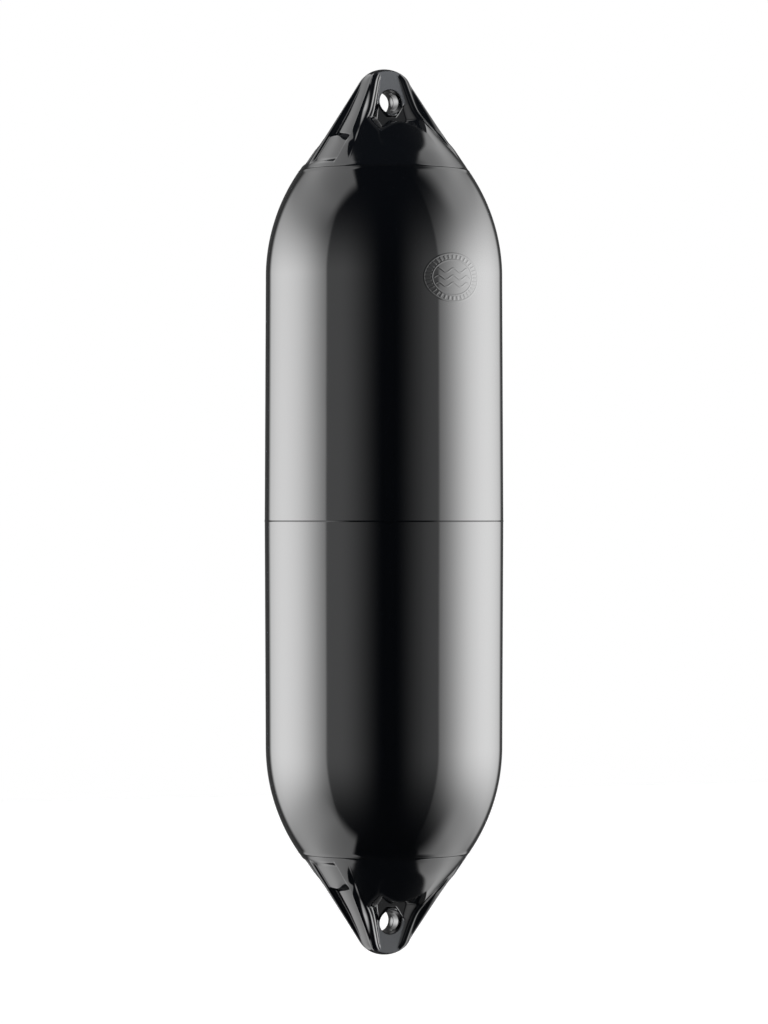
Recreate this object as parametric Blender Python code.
"""Cylindrical boat fender: an air-filled vinyl body between two solid moulded rope eyes.

Metres, +Z along the fender, origin at the middle of its length. The rope holes run along Y
and the air valve is on the back, +Y. Heights in a rope eye are measured from its base, at
the end of the body, up to its tip.
"""
import math

import bpy
from mathutils import Matrix, Vector

# Body
OVERALL_LENGTH = 1.076
BODY_RADIUS = 0.145
BODY_DRAFT = 0.0013
SHOULDER_RADIUS = 0.225
END_RING_STEP = 0.001
END_RING_ROUND = 0.0015
SEAM_BELOW_MIDDLE = 0.011
SEAM_HALF_WIDTH = 0.0015
SEAM_RISE = 0.0006
BODY_STEPS = 64

# Rope eye, outer form
EYE_HEIGHT = 0.124
EYE_BASE_RADIUS = 0.1035
DOME_RADIUS = 0.040
LIP_HEIGHT = 0.0045
SPIGOT_RADIUS = 0.090
SPIGOT_DEPTH = 0.008

# Rope hole and the flat pad round it
HOLE_HEIGHT = 0.0834
HOLE_RADIUS = 0.0122
HOLE_FLARE = 0.0026
PAD_REACH = 0.0218
PAD_LEAN = math.radians(11)
PAD_RISE = 0.002
PAD_ROOT = 0.008
PAD_FOOT_HALF = 0.005
PAD_FOOT_BELOW_HOLE = 0.0174
PAD_WIDE_HALF = 0.0193
PAD_WIDE_BELOW_HOLE = 0.0027
PAD_TOP_HALF = 0.0154
PAD_TOP_MARGIN = 0.0008

# Front and back panels below the pads
PANEL_SINK = 0.012
PANEL_CURVE = 1.7
ARCH_BELOW_HOLE = 0.0324
ARCH_DROP = 0.026
SHELF_SLOPE = 3.3
RECESS_DEPTH = 0.005
RECESS_TOP_BELOW_HOLE = 0.0054
RECESS_TOP_BLEND = 0.0025

# Ribs and grooves, by azimuth from the middle of the front panel
FIN_OUTER = math.radians(49)
FIN_WIDTH = 0.0045
FIN_FOOT = 0.0015
FIN_SINK_BASE = 0.002
FIN_SINK_TOP = 0.009
FIN_START_HEIGHT = 0.026
CHANNEL_DEPTH = 0.0035
CHANNEL_START_HEIGHT = 0.008
CHANNEL_FULL_HEIGHT = 0.030
CHANNEL_PLACE = 0.45
KEEL_BASE = math.radians(58)
KEEL_TOP = math.radians(53)
KEEL_WIDTH = 0.0015
GROOVE_SHALLOW = 0.003
GROOVE_DEEP = 0.009
GROOVE_START_HEIGHT = 0.012
GROOVE_STEP_HEIGHT = 0.037
GROOVE_STEP_BLEND = 0.0025
GROOVE_FLANK = 0.003
SIDE_RIB_HALF = 0.0022
SIDE_RIB_BASE_HALF = 0.005
RIB_FADE_BELOW_DOME = 0.006
RIB_END_BELOW_TIP = 0.008
FIN_END_BELOW_TIP = 0.005
FRONT_COLUMNS = 6
GROOVE_COLUMNS = 4
DOME_LEVELS = (28, 40, 52, 64, 77)

# Air valve, in the back panel of the upper rope eye
VALVE_HEIGHT = 0.020
FLANGE_RADIUS = 0.012
FLANGE_THICKNESS = 0.0025
FLANGE_PROUD = 0.0008
VALVE_RADIUS = 0.008
VALVE_DEPTH = 0.020
VALVE_BORE = 0.004
SCREW_HEAD_RADIUS = 0.0068
SCREW_HEAD_HEIGHT = 0.003
SCREW_LENGTH = 0.012
SLOT_WIDTH = 0.0016
SLOT_DEPTH = 0.0014
SEAL_RADIUS = 0.0058
SEAL_THICKNESS = 0.0012
VALVE_STEPS = 32

GAP = 0.0003
MERGE = 0.00001

BODY_END = OVERALL_LENGTH / 2 - EYE_HEIGHT
DOME_CENTRE = EYE_HEIGHT - DOME_RADIUS
RECESS_TOP = HOLE_HEIGHT - RECESS_TOP_BELOW_HOLE
ARCH_HEIGHT = HOLE_HEIGHT - ARCH_BELOW_HOLE


def clear_scene():
    for thing in list(bpy.data.objects):
        bpy.data.objects.remove(thing, do_unlink=True)


def plastic(name, colour, roughness):
    """A glossy or matt plastic in one colour."""
    material = bpy.data.materials.new(name)
    material.use_nodes = True
    shader = material.node_tree.nodes["Principled BSDF"]
    shader.inputs["Base Color"].default_value = (*colour, 1)
    shader.inputs["Roughness"].default_value = roughness
    shader.inputs["Metallic"].default_value = 0
    material.diffuse_color = (*colour, 1)
    return material


def mesh_object(name, points, faces, material=None):
    """A linked object with the given vertices and faces."""
    mesh = bpy.data.meshes.new(name)
    mesh.from_pydata(points, [], faces)
    mesh.update()
    thing = bpy.data.objects.new(name, mesh)
    bpy.context.collection.objects.link(thing)
    if material:
        mesh.materials.append(material)
    return thing


def shade_round(thing, sharp_degrees=30):
    """Smooth shading that stops at the sharp edges."""
    thing.data.shade_smooth()
    thing.data.set_sharp_from_angle(angle=math.radians(sharp_degrees))


def turned(name, profile, steps, material=None):
    """Turns a profile of (radius, height) points round Z; it runs down the outer side."""
    points = [(radius, 0, height) for radius, height in profile]
    edges = [(i, i + 1) for i in range(len(points) - 1)]
    mesh = bpy.data.meshes.new(name)
    mesh.from_pydata(points, edges, [])
    thing = bpy.data.objects.new(name, mesh)
    bpy.context.collection.objects.link(thing)
    screw = thing.modifiers.new("turn", "SCREW")
    screw.steps = steps
    screw.render_steps = steps
    screw.use_merge_vertices = True
    screw.merge_threshold = MERGE
    screw.use_smooth_shade = True
    if material:
        mesh.materials.append(material)
    return thing


def make_cutter(thing):
    """Marks an object that only shapes another one."""
    thing.hide_render = True
    thing.display_type = "WIRE"


def combine(thing, other, operation):
    """Adds a Boolean modifier that cuts or joins another object."""
    boolean = thing.modifiers.new(operation.lower(), "BOOLEAN")
    boolean.operation = operation
    boolean.object = other
    boolean.solver = "EXACT"
    make_cutter(other)


def smooth_step(value, start, end):
    """0 before start, 1 past end, and a smooth rise between them."""
    share = min(max((value - start) / (end - start), 0), 1)
    return share * share * (3 - 2 * share)


def between(value, start, end, first, last):
    """Straight interpolation from first at start to last at end, held outside them."""
    share = min(max((value - start) / (end - start), 0), 1)
    return first + (last - first) * share


def shoulder_profile(count=9):
    """Upper half of the body's side, ring down to barrel, as (radius, height above middle)."""
    ring = EYE_BASE_RADIUS + END_RING_STEP
    barrel = BODY_RADIUS - BODY_DRAFT
    drop = barrel - ring
    reach = math.sqrt(SHOULDER_RADIUS ** 2 - (SHOULDER_RADIUS - drop) ** 2)
    full = math.asin(reach / SHOULDER_RADIUS)
    arc_end = BODY_END - END_RING_ROUND
    points = [(ring - END_RING_ROUND, BODY_END)]
    points.append((ring - END_RING_ROUND * 0.3, BODY_END - END_RING_ROUND * 0.3))
    for i in range(count + 1):
        angle = full * (1 - i / count)
        radius = barrel - SHOULDER_RADIUS * (1 - math.cos(angle))
        height = arc_end - reach + SHOULDER_RADIUS * math.sin(angle)
        points.append((radius, height))
    return points


def make_body(material):
    """The air-filled body, one solid, with the moulding seam and a socket at each end."""
    socket_radius = SPIGOT_RADIUS + GAP
    socket_floor = BODY_END - SPIGOT_DEPTH - GAP
    upper = shoulder_profile()
    seam = -SEAM_BELOW_MIDDLE
    profile = [(0, socket_floor), (socket_radius, socket_floor), (socket_radius, BODY_END)]
    profile += upper
    profile.append((BODY_RADIUS, seam + SEAM_HALF_WIDTH))
    profile.append((BODY_RADIUS + SEAM_RISE, seam))
    profile.append((BODY_RADIUS, seam - SEAM_HALF_WIDTH))
    profile += [(radius, -height) for radius, height in reversed(upper)]
    profile += [(socket_radius, -BODY_END), (socket_radius, -socket_floor), (0, -socket_floor)]
    return turned("body", profile, BODY_STEPS, material)


def cone_tangent():
    """Radius and height where the straight cone runs into the dome that it touches."""
    distance = math.hypot(EYE_BASE_RADIUS, DOME_CENTRE)
    to_centre = math.atan2(DOME_CENTRE, -EYE_BASE_RADIUS)
    direction = to_centre - math.asin(DOME_RADIUS / distance)
    length = math.sqrt(distance ** 2 - DOME_RADIUS ** 2)
    return EYE_BASE_RADIUS + length * math.cos(direction), length * math.sin(direction)


TANGENT_RADIUS, TANGENT_HEIGHT = cone_tangent()
RIB_FADE_HEIGHT = TANGENT_HEIGHT - RIB_FADE_BELOW_DOME


def envelope(height):
    """Radius of the plain cone and dome that the ribs reach."""
    if height < TANGENT_HEIGHT:
        return between(height, 0, TANGENT_HEIGHT, EYE_BASE_RADIUS, TANGENT_RADIUS)
    return math.sqrt(max(DOME_RADIUS ** 2 - (height - DOME_CENTRE) ** 2, 0))


def pad_reach(height):
    """Distance of the flat pad's face from the axis, along Y."""
    return PAD_REACH + (HOLE_HEIGHT - height) * math.tan(PAD_LEAN)


def panel_radius(height):
    """The smooth panel between the fins, which sinks below the cone as it rises."""
    share = between(height, LIP_HEIGHT, ARCH_HEIGHT, 0, 1)
    return envelope(height) - PANEL_SINK * share ** PANEL_CURVE


def fin_radius(height):
    """Crest of the thin fin beside the panel."""
    sink = between(height, FIN_START_HEIGHT, HOLE_HEIGHT, FIN_SINK_BASE, FIN_SINK_TOP)
    sink *= 1 - smooth_step(height, RIB_FADE_HEIGHT, EYE_HEIGHT - FIN_END_BELOW_TIP)
    return max(envelope(height) - sink, panel_radius(height))


def front_radius(azimuth, height):
    """Front surface between the fins: panel, arched shelf and the floor round the pad."""
    deeper = 1 - smooth_step(height, RECESS_TOP - RECESS_TOP_BLEND, RECESS_TOP + RECESS_TOP_BLEND)
    sink = PAD_RISE + (RECESS_DEPTH - PAD_RISE) * deeper
    floor = (pad_reach(height) - sink) / math.cos(azimuth)
    arch = ARCH_HEIGHT - ARCH_DROP * (azimuth / FIN_OUTER) ** 2
    shelf = panel_radius(height) - SHELF_SLOPE * (height - arch)
    return min(envelope(height), max(floor, min(panel_radius(height), shelf)))


def quarter_section(height):
    """One quarter of a level section, front to side, as (azimuth, radius) points."""
    outer = envelope(height)
    fade = 1 - smooth_step(height, RIB_FADE_HEIGHT, EYE_HEIGHT - RIB_END_BELOW_TIP)
    fin = min(fin_radius(height), outer)
    fin_inner = FIN_OUTER - FIN_WIDTH / (outer + FIN_WIDTH)
    foot = fin_inner - FIN_FOOT / (outer + FIN_FOOT)
    keel = between(height, LIP_HEIGHT, HOLE_HEIGHT, KEEL_BASE, KEEL_TOP)
    keel_outer = keel + KEEL_WIDTH / (outer + KEEL_WIDTH)
    cut = smooth_step(height, CHANNEL_START_HEIGHT, CHANNEL_FULL_HEIGHT)
    channel = fin - CHANNEL_DEPTH * cut * fade
    rib_half = between(height, LIP_HEIGHT, HOLE_HEIGHT, SIDE_RIB_BASE_HALF, SIDE_RIB_HALF)
    rib = math.pi / 2 - rib_half / (outer + rib_half)
    rib_foot = rib - FIN_FOOT / (outer + FIN_FOOT)
    groove_start = keel_outer + GROOVE_FLANK / (outer + GROOVE_FLANK)
    depth = GROOVE_SHALLOW * smooth_step(height, LIP_HEIGHT, GROOVE_START_HEIGHT)
    step = GROOVE_STEP_HEIGHT
    deeper = smooth_step(height, step - GROOVE_STEP_BLEND, step + GROOVE_STEP_BLEND)
    depth += (GROOVE_DEEP - GROOVE_SHALLOW) * deeper
    floor = outer - depth * fade
    front = [foot * i / FRONT_COLUMNS for i in range(FRONT_COLUMNS + 1)]
    section = [(azimuth, front_radius(azimuth, height)) for azimuth in front]
    section.append((fin_inner, fin))
    section.append((FIN_OUTER, fin))
    section.append((FIN_OUTER + (keel - FIN_OUTER) * CHANNEL_PLACE, channel))
    section.append((keel, outer))
    section.append((keel_outer, outer))
    for i in range(GROOVE_COLUMNS + 1):
        section.append((groove_start + (rib_foot - groove_start) * i / GROOVE_COLUMNS, floor))
    section.append((rib, outer))
    section.append((math.pi / 2, outer))
    return section


def bent_level(level, column):
    """Height of a level at one column: over the front panel the levels follow the arch."""
    past_fin = column - FRONT_COLUMNS - 1
    if past_fin <= 0:
        drop = ARCH_DROP * min(column / FRONT_COLUMNS, 1) ** 2
    else:
        drop = ARCH_DROP * max(1 - past_fin / 4, 0)
    if level < ARCH_HEIGHT:
        return between(level, LIP_HEIGHT, ARCH_HEIGHT, LIP_HEIGHT, ARCH_HEIGHT - drop)
    return between(level, ARCH_HEIGHT, RECESS_TOP, ARCH_HEIGHT - drop, RECESS_TOP)


def surface_ring(level):
    """A closed ring of points at one level, the quarter mirrored to all four sides."""
    quarter = []
    for column in range(len(quarter_section(level))):
        height = level
        if LIP_HEIGHT < level < RECESS_TOP:
            height = bent_level(level, column)
        quarter.append((*quarter_section(height)[column], height))
    half = quarter + [(math.pi - a, r, h) for a, r, h in reversed(quarter[:-1])]
    ring = half + [(2 * math.pi - a, r, h) for a, r, h in reversed(half[1:-1])]
    return [(r * math.sin(a), -r * math.cos(a), h) for a, r, h in ring]


def eye_levels():
    """Levels of the rings: closer together round the arch, the steps and the dome."""
    low = [LIP_HEIGHT, GROOVE_START_HEIGHT, FIN_START_HEIGHT - LIP_HEIGHT]
    step = [GROOVE_STEP_HEIGHT - GROOVE_STEP_BLEND, GROOVE_STEP_HEIGHT + GROOVE_STEP_BLEND]
    shelf = (RECESS_TOP - ARCH_HEIGHT) / 5
    arch = [ARCH_HEIGHT + shelf * i for i in (-1, 0, 1, 2, 3.6)]
    pad = (TANGENT_HEIGHT - RECESS_TOP) / 4
    upper = [RECESS_TOP + pad * i for i in (0, 1, 2.4)]
    angles = [math.radians(degrees) for degrees in DOME_LEVELS]
    dome = [DOME_CENTRE + DOME_RADIUS * math.sin(angle) for angle in angles]
    return [0] + low + step + arch + upper + dome


def eye_blank(name, material):
    """The ribbed cone, lofted from rings of points, with the spigot under its base."""
    rings = [surface_ring(level) for level in eye_levels()]
    count = len(rings[0])
    turn = [math.atan2(x, -y) for x, y, _ in rings[0]]
    spigot = [(SPIGOT_RADIUS * math.sin(a), -SPIGOT_RADIUS * math.cos(a)) for a in turn]
    base = [(x, y, GAP) for x, y, _ in rings[0]]
    rings = [[(x, y, -SPIGOT_DEPTH) for x, y in spigot], [(x, y, GAP) for x, y in spigot],
             base] + rings[1:]
    points = [point for ring in rings for point in ring]
    tip = len(points)
    points.append((0, 0, EYE_HEIGHT))
    faces = [tuple(reversed(range(count)))]
    for row in range(len(rings) - 1):
        for i in range(count):
            a, b = row * count + i, row * count + (i + 1) % count
            c, d = b + count, a + count
            if (4 * i // count) % 2:
                faces += [(a, b, c), (a, c, d)]
            else:
                faces += [(a, b, d), (b, c, d)]
    last = tip - count
    faces += [(last + i, last + (i + 1) % count, tip) for i in range(count)]
    blank = mesh_object(name, points, faces, material)
    shade_round(blank)
    return blank


def pad_outline():
    """Outline of the pad's face as (x, height): narrow foot, wide middle, domed top."""
    arc = DOME_RADIUS - PAD_TOP_MARGIN
    arc = math.sqrt(arc ** 2 - pad_reach(EYE_HEIGHT) ** 2)
    half = [(PAD_FOOT_HALF, HOLE_HEIGHT - PAD_FOOT_BELOW_HOLE)]
    half.append((PAD_WIDE_HALF, HOLE_HEIGHT - PAD_WIDE_BELOW_HOLE))
    for share in (1, 0.66, 0.33):
        x = PAD_TOP_HALF * share
        half.append((x, DOME_CENTRE + math.sqrt(arc ** 2 - x ** 2) - PAD_TOP_MARGIN))
    return half + [(-x, height) for x, height in reversed(half)]


def pad_block(name, side):
    """The pad as a block: its flat face, and a root inside the cone; side is -1 at the front."""
    outline = pad_outline()
    count = len(outline)
    face = [(x, side * pad_reach(height), height) for x, height in outline]
    root = [(x, side * (pad_reach(height) - PAD_ROOT), height) for x, height in outline]
    order = list(range(count))
    sides = [(i, i + count, (i + 1) % count + count, (i + 1) % count) for i in order]
    faces = [tuple(order), tuple(count + i for i in reversed(order))] + sides
    if side > 0:
        faces = [tuple(reversed(corners)) for corners in faces]
    return mesh_object(name, face + root, faces)


def hole_cutter(name, length=0.056, rows=8):
    """Rope hole: narrowest in the middle and flared towards both faces."""
    half = length / 2
    profile = [(0, half)]
    for i in range(rows + 1):
        y = half - length * i / rows
        profile.append((HOLE_RADIUS + HOLE_FLARE * (y / PAD_REACH) ** 2, y))
    profile.append((0, -half))
    cutter = turned(name, profile, VALVE_STEPS)
    cutter.rotation_euler = (math.pi / 2, 0, 0)
    cutter.location = (0, 0, HOLE_HEIGHT)
    return cutter


def valve_frame():
    """Centre of the valve's mouth on the back panel, and the matrix that aims Z out of it."""
    step = 0.001
    low = panel_radius(VALVE_HEIGHT - step)
    high = panel_radius(VALVE_HEIGHT + step)
    outward = Vector((0, 2 * step, low - high)).normalized()
    mouth = Vector((0, panel_radius(VALVE_HEIGHT), VALVE_HEIGHT + BODY_END))
    tilt = outward.to_track_quat("Z", "Y").to_matrix().to_4x4()
    return Matrix.Translation(mouth) @ tilt


def valve_pocket():
    """Cutter for the seat that the valve body is set in."""
    shelf = FLANGE_PROUD - FLANGE_THICKNESS - GAP
    floor = FLANGE_PROUD - VALVE_DEPTH - GAP
    top = FLANGE_PROUD + 0.010
    profile = [(0, top), (FLANGE_RADIUS + GAP, top), (FLANGE_RADIUS + GAP, shelf),
               (VALVE_RADIUS + GAP, shelf), (VALVE_RADIUS + GAP, floor), (0, floor)]
    cutter = turned("valve_pocket", profile, VALVE_STEPS)
    cutter.matrix_world = valve_frame()
    return cutter


def rope_eye(name, material, end):
    """A whole rope eye; end is 1 for the upper one and -1 for the lower one."""
    eye = eye_blank(name, material)
    for side, word in ((-1, "front"), (1, "back")):
        pad = pad_block(f"{name}_{word}_pad", side)
        pad.parent = eye
        combine(eye, pad, "UNION")
    hole = hole_cutter(f"{name}_hole")
    hole.parent = eye
    combine(eye, hole, "DIFFERENCE")
    eye.location = (0, 0, end * BODY_END)
    if end < 0:
        eye.rotation_euler = (0, math.pi, 0)
    return eye


def valve_body(material):
    """Moulded-in valve seat: a flange, a barrel and a blind threaded bore."""
    top = FLANGE_PROUD
    shelf = top - FLANGE_THICKNESS
    bore = VALVE_BORE + GAP
    bore_floor = top - SCREW_LENGTH - SEAL_THICKNESS - 3 * GAP
    profile = [(0, bore_floor), (bore, bore_floor), (bore, top), (FLANGE_RADIUS, top),
               (FLANGE_RADIUS, shelf), (VALVE_RADIUS, shelf), (VALVE_RADIUS, top - VALVE_DEPTH),
               (0, top - VALVE_DEPTH)]
    thing = turned("valve_body", profile, VALVE_STEPS, material)
    thing.matrix_world = valve_frame()
    return thing


def valve_seal(material):
    """Flat ring under the screw's head."""
    low = FLANGE_PROUD + GAP
    high = low + SEAL_THICKNESS
    inner = VALVE_BORE + GAP
    profile = [(inner, low), (inner, high), (SEAL_RADIUS, high), (SEAL_RADIUS, low), (inner, low)]
    thing = turned("valve_seal", profile, VALVE_STEPS, material)
    thing.matrix_world = valve_frame()
    return thing


def valve_screw(material):
    """Plug screw with a slotted head; it shuts the valve."""
    seat = FLANGE_PROUD + SEAL_THICKNESS + 2 * GAP
    top = seat + SCREW_HEAD_HEIGHT
    tip = seat - SCREW_LENGTH
    bevel = SCREW_HEAD_HEIGHT * 0.4
    profile = [(0, top), (SCREW_HEAD_RADIUS - bevel, top), (SCREW_HEAD_RADIUS, top - bevel),
               (SCREW_HEAD_RADIUS, seat), (VALVE_BORE, seat), (VALVE_BORE, tip + VALVE_BORE / 3),
               (VALVE_BORE * 0.7, tip), (0, tip)]
    thing = turned("valve_screw", profile, VALVE_STEPS, material)
    length = SCREW_HEAD_RADIUS * 1.2
    half = SLOT_WIDTH / 2
    low, high = top - SLOT_DEPTH, top + SLOT_DEPTH
    corners = [(x, y, z) for z in (low, high) for x, y in
               ((-length, -half), (length, -half), (length, half), (-length, half))]
    faces = [(3, 2, 1, 0), (4, 5, 6, 7), (0, 1, 5, 4), (1, 2, 6, 5), (2, 3, 7, 6), (3, 0, 4, 7)]
    slot = mesh_object("screw_slot", corners, faces)
    slot.parent = thing
    combine(thing, slot, "DIFFERENCE")
    thing.matrix_world = valve_frame()
    return thing


def build():
    clear_scene()
    vinyl = plastic("black_vinyl", (0.012, 0.013, 0.015), 0.12)
    moulding = plastic("black_moulding", (0.014, 0.015, 0.017), 0.16)
    insert = plastic("valve_insert", (0.03, 0.03, 0.032), 0.4)
    plug = plastic("valve_plug", (0.55, 0.56, 0.57), 0.35)
    ring = plastic("seal_rubber", (0.02, 0.02, 0.02), 0.7)
    make_body(vinyl)
    upper = rope_eye("upper_rope_eye", moulding, 1)
    rope_eye("lower_rope_eye", moulding, -1)
    combine(upper, valve_pocket(), "DIFFERENCE")
    valve_body(insert)
    valve_seal(ring)
    valve_screw(plug)


build()
